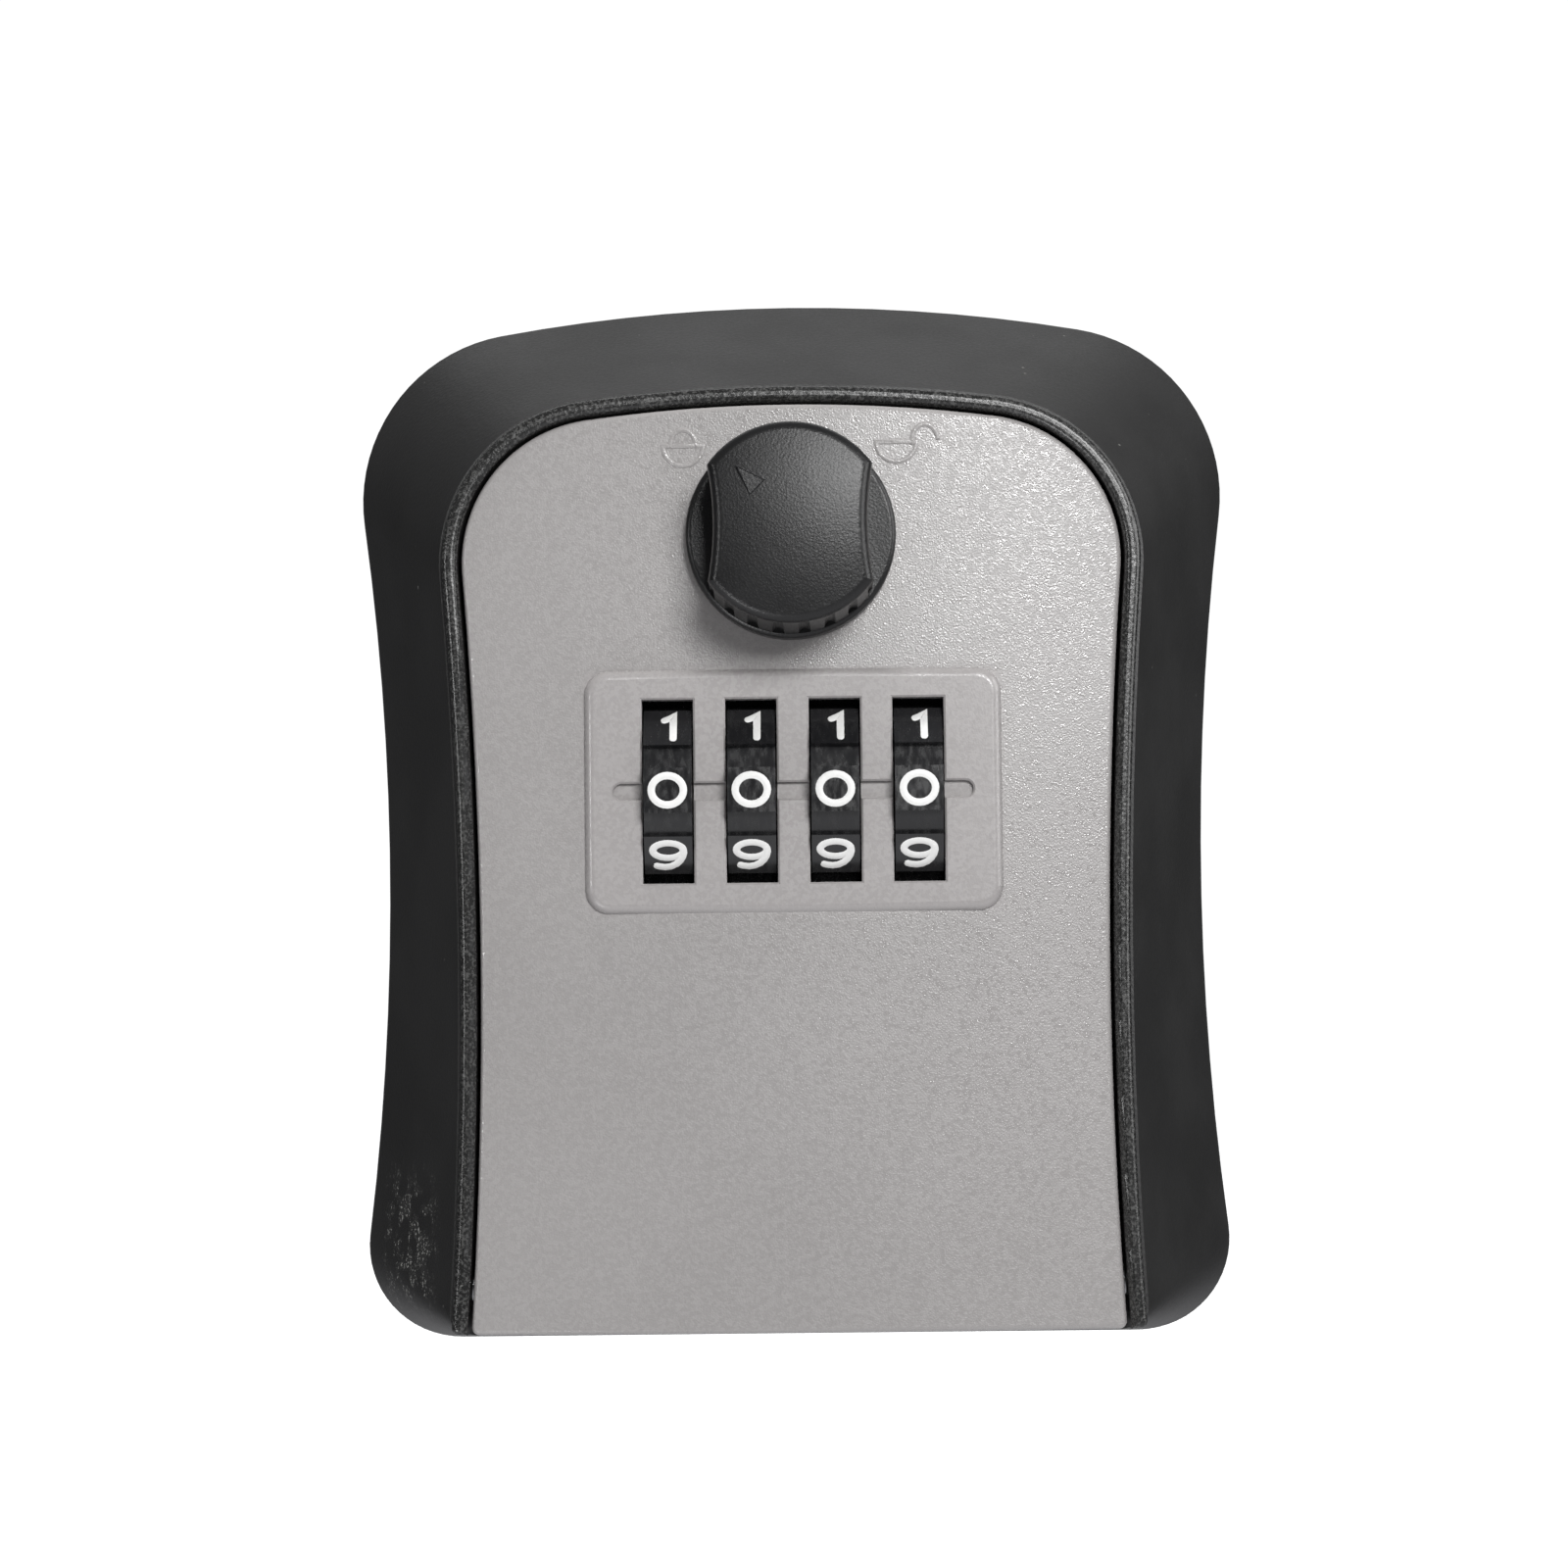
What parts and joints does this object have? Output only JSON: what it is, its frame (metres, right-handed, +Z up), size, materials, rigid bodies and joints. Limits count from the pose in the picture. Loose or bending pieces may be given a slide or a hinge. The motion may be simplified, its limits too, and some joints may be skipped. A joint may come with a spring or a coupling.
{
  "type": "key lock box",
  "caption": "Wall-mounted key lock box: flared housing, drop-down door with number wheels under a slotted pad, and a knob that turns the latch.",
  "frame": {"origin": "centre of the rectangle of four wall-screw holes, on the plane of the housing's back", "axes": "+Y into the wall, +Z up, +X to the right of a person facing the door, so the door faces -Y"},
  "size_m": [0.0968, 0.0511, 0.1153],
  "materials": {
    "housing_black": "moulded, fine grain",
    "door_grey": "grey powder coat with a fine metallic sparkle",
    "cover_black": "moulded, fine grain",
    "knob_black": "moulded, fine grain",
    "wheel_black": "polished, white numbers",
    "sleeve_nylon": "natural nylon",
    "steel": "zinc plated",
    "spring_steel": "spring steel"
  },
  "bodies": {
    "housing": {"housing": "housing_black", "hinge_rod": "steel", "striker": "steel", "striker_screws": "steel"},
    "door": {"door_panel": "door_grey", "inner_cover": "cover_black", "cover_screws": "steel", "wheel_carrier": "cover_black", "wheel_axle": "steel", "detent_spring": "spring_steel", "reset_spring": "spring_steel"},
    "knob": {"knob": "knob_black", "knob_spindle": "steel", "spindle_clip": "steel", "latch_arm": "steel", "arm_washer": "steel", "arm_screw": "steel"},
    "fence": {"fence_bar": "steel"},
    "dial_1": {"number_wheel_1": "wheel_black"},
    "dial_2": {"number_wheel_2": "wheel_black"},
    "dial_3": {"number_wheel_3": "wheel_black"},
    "dial_4": {"number_wheel_4": "wheel_black"},
    "sleeve_1": {"code_sleeve_1": "sleeve_nylon"},
    "sleeve_2": {"code_sleeve_2": "sleeve_nylon"},
    "sleeve_3": {"code_sleeve_3": "sleeve_nylon"},
    "sleeve_4": {"code_sleeve_4": "sleeve_nylon"},
    "reset_lever": {"reset_lever": "sleeve_nylon"}
  },
  "joints": [
    {"name": "door_hinge", "type": "hinge", "parent": "housing", "child": "door", "pos_m": [0, -0.0315, -0.0515], "axis": [1, 0, 0], "range_deg": [0, 105]},
    {"name": "knob_turn", "type": "hinge", "parent": "door", "child": "knob", "pos_m": [0, -0.038, 0.0278], "axis": [0, 1, 0], "range_deg": [-8, 100]},
    {"name": "fence_slide", "type": "slide", "parent": "door", "child": "fence", "axis": [0, 0, -1], "range_m": [-0.0001, 0.0012]},
    {"name": "dial_1_turn", "type": "hinge", "parent": "door", "child": "dial_1", "pos_m": [-0.01328, -0.0289, 0.0007], "axis": [1, 0, 0], "continuous": true},
    {"name": "dial_2_turn", "type": "hinge", "parent": "door", "child": "dial_2", "pos_m": [-0.00443, -0.0289, 0.0007], "axis": [1, 0, 0], "continuous": true},
    {"name": "dial_3_turn", "type": "hinge", "parent": "door", "child": "dial_3", "pos_m": [0.00443, -0.0289, 0.0007], "axis": [1, 0, 0], "continuous": true},
    {"name": "dial_4_turn", "type": "hinge", "parent": "door", "child": "dial_4", "pos_m": [0.01328, -0.0289, 0.0007], "axis": [1, 0, 0], "continuous": true},
    {"name": "reset_slide", "type": "slide", "parent": "door", "child": "reset_lever", "axis": [0, 0, -1], "range_m": [0, 0.005]},
    {"name": "sleeve_1_shift", "type": "slide", "parent": "dial_1", "child": "sleeve_1", "axis": [1, 0, 0], "range_m": [0, 0.001]},
    {"name": "sleeve_2_shift", "type": "slide", "parent": "dial_2", "child": "sleeve_2", "axis": [1, 0, 0], "range_m": [0, 0.001]},
    {"name": "sleeve_3_shift", "type": "slide", "parent": "dial_3", "child": "sleeve_3", "axis": [1, 0, 0], "range_m": [0, 0.001]},
    {"name": "sleeve_4_shift", "type": "slide", "parent": "dial_4", "child": "sleeve_4", "axis": [1, 0, 0], "range_m": [0, 0.001], "deforming": ["reset_spring"]}
  ],
  "couplings": [
    {"joint": "fence_slide", "follows": "knob_turn", "m_per_rad": 0.000676},
    {"joint": "sleeve_1_shift", "follows": "reset_slide", "ratio": 0.2},
    {"joint": "sleeve_2_shift", "follows": "reset_slide", "ratio": 0.2},
    {"joint": "sleeve_3_shift", "follows": "reset_slide", "ratio": 0.2},
    {"joint": "sleeve_4_shift", "follows": "reset_slide", "ratio": 0.2}
  ]
}
